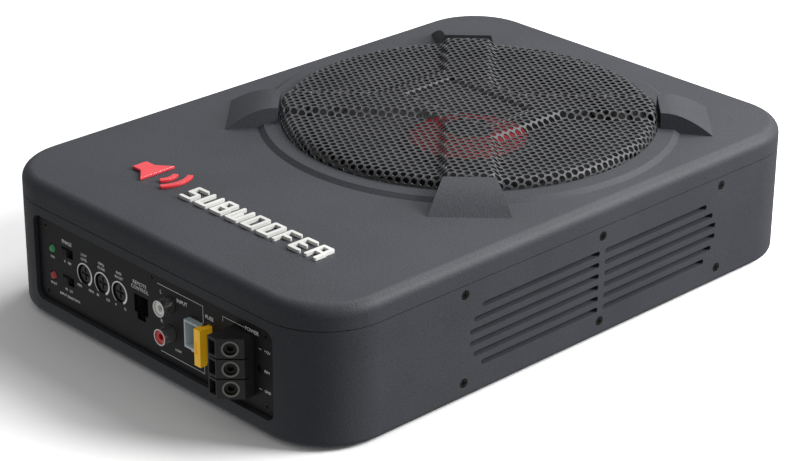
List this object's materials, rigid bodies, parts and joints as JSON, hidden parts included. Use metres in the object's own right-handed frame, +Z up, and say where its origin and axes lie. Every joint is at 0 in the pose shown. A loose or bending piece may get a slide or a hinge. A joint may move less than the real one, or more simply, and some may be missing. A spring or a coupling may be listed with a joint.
{
  "type": "powered car subwoofer",
  "caption": "Flat under-seat powered subwoofer: cast case, perforated grille with a raised cross, front control panel and side cooling slots.",
  "frame": {"origin": "under the middle of the whole object's outline, on the surface it stands on", "axes": "+X to the side with the cooling slots, +Y along the length away from the control panel, +Z up"},
  "size_m": [0.244, 0.3574, 0.0835],
  "materials": {
    "shell": "cast aluminium with a fine-textured black powder coat",
    "panel": "satin black sheet with white printed legends",
    "black_screw": "black oxide steel",
    "grille": "perforated steel sheet, semi-gloss black enamel",
    "basket": "satin black stamped steel",
    "rubber": "matte black rubber",
    "cone": "black mineral-filled polypropylene",
    "red_print": "red enamel print",
    "spider": "impregnated cloth",
    "copper": "enamelled copper wire",
    "steel": "zinc-plated steel",
    "zinc": "bright nickel or tin plate",
    "ferrite": "sintered ferrite",
    "board": "green solder mask on glass epoxy",
    "phenolic": "brown phenolic",
    "wire": "insulated wire",
    "sink": "extruded aluminium",
    "black_plastic": "black moulded plastic",
    "can": "sleeved aluminium can",
    "grey_plastic": "dark grey moulded plastic",
    "led_green": "green diffused LED lens",
    "led_red": "red diffused LED lens",
    "white_plastic": "white insulator",
    "red_plastic": "red insulator",
    "natural_nylon": "natural translucent nylon",
    "gold": "gold-plated spring wire",
    "yellow_plastic": "translucent yellow plastic",
    "badge_red": "gloss red moulding",
    "white_print": "white screen-printed ink",
    "badge_white": "gloss white moulding"
  },
  "bodies": {
    "case": {"top_cover": "shell", "lower_shell": "shell", "cover_gasket": "rubber", "rubber_feet": "rubber", "side_screws": "black_screw", "vent_screen": "black_plastic", "control_panel": "panel", "panel_screws": "black_screw", "speaker_grille": "grille", "driver_gasket": "rubber", "driver_basket": "basket", "driver_screws": "black_screw", "top_plate": "steel", "magnet": "ferrite", "yoke": "steel", "driver_terminal": "phenolic", "speaker_leads": "wire", "circuit_board": "board", "board_screws": "zinc", "input_board": "board", "heat_sink": "sink", "power_transistors": "black_plastic", "capacitors": "can", "choke": "copper", "transformer": "copper", "potentiometers": "grey_plastic", "switch_bodies": "steel", "power_led": "led_green", "protect_led": "led_red", "rca_shells": "zinc", "rca_insulator_white": "white_plastic", "rca_insulator_red": "red_plastic", "rca_housing": "black_plastic", "remote_port": "black_plastic", "port_contacts": "gold", "input_header": "natural_nylon", "header_pins": "zinc", "fuse_holder": "black_plastic", "terminal_block": "black_plastic", "terminal_clamps": "steel", "badge_emblem": "badge_red", "badge_letters": "badge_white"},
    "cone_assembly": {"cone": "cone", "dust_cap": "cone", "dust_cap_ring": "red_print", "surround": "rubber", "spider": "spider", "voice_coil": "copper"},
    "level_knob": {"level_knob": "black_plastic"},
    "filter_knob": {"filter_knob": "black_plastic"},
    "bass_knob": {"bass_knob": "black_plastic"},
    "phase_slider": {"phase_slider": "grey_plastic"},
    "input_slider": {"input_slider": "grey_plastic"},
    "fuse": {"fuse_body": "yellow_plastic", "fuse_blades": "zinc"},
    "terminal_screw_1": {"terminal_screw_1": "black_screw"},
    "terminal_screw_2": {"terminal_screw_2": "black_screw"},
    "terminal_screw_3": {"terminal_screw_3": "black_screw"}
  },
  "joints": [
    {"name": "cone_stroke", "type": "slide", "parent": "case", "child": "cone_assembly", "axis": [0, 0, 1], "range_m": [-0.0045, 0.0045], "stiffness_N_per_m": 1500, "deforming": ["surround", "spider"]},
    {"name": "level_knob_turn", "type": "hinge", "parent": "case", "child": "level_knob", "pos_m": [-0.0524, -0.15985, 0.0347], "axis": [0, -1, 0], "range_deg": [-150, 150]},
    {"name": "filter_knob_turn", "type": "hinge", "parent": "case", "child": "filter_knob", "pos_m": [-0.0386, -0.15985, 0.0347], "axis": [0, -1, 0], "range_deg": [-150, 150]},
    {"name": "bass_knob_turn", "type": "hinge", "parent": "case", "child": "bass_knob", "pos_m": [-0.0248, -0.15985, 0.0347], "axis": [0, -1, 0], "range_deg": [-150, 150]},
    {"name": "phase_slider_slide", "type": "slide", "parent": "case", "child": "phase_slider", "axis": [1, 0, 0], "range_m": [0, 0.003]},
    {"name": "input_slider_slide", "type": "slide", "parent": "case", "child": "input_slider", "axis": [1, 0, 0], "range_m": [0, 0.003]},
    {"name": "fuse_pull", "type": "slide", "parent": "case", "child": "fuse", "axis": [0, -1, 0], "range_m": [0, 0.014]},
    {"name": "terminal_screw_1_turn", "type": "hinge", "parent": "case", "child": "terminal_screw_1", "pos_m": [0.0697, -0.17405, 0.04358], "axis": [0.7071, -0.7071, 0], "range_deg": [-360, 360]},
    {"name": "terminal_screw_2_turn", "type": "hinge", "parent": "case", "child": "terminal_screw_2", "pos_m": [0.0697, -0.17405, 0.03331], "axis": [0.7071, -0.7071, 0], "range_deg": [-360, 360]},
    {"name": "terminal_screw_3_turn", "type": "hinge", "parent": "case", "child": "terminal_screw_3", "pos_m": [0.0697, -0.17405, 0.02303], "axis": [0.7071, -0.7071, 0], "range_deg": [-360, 360]}
  ]
}
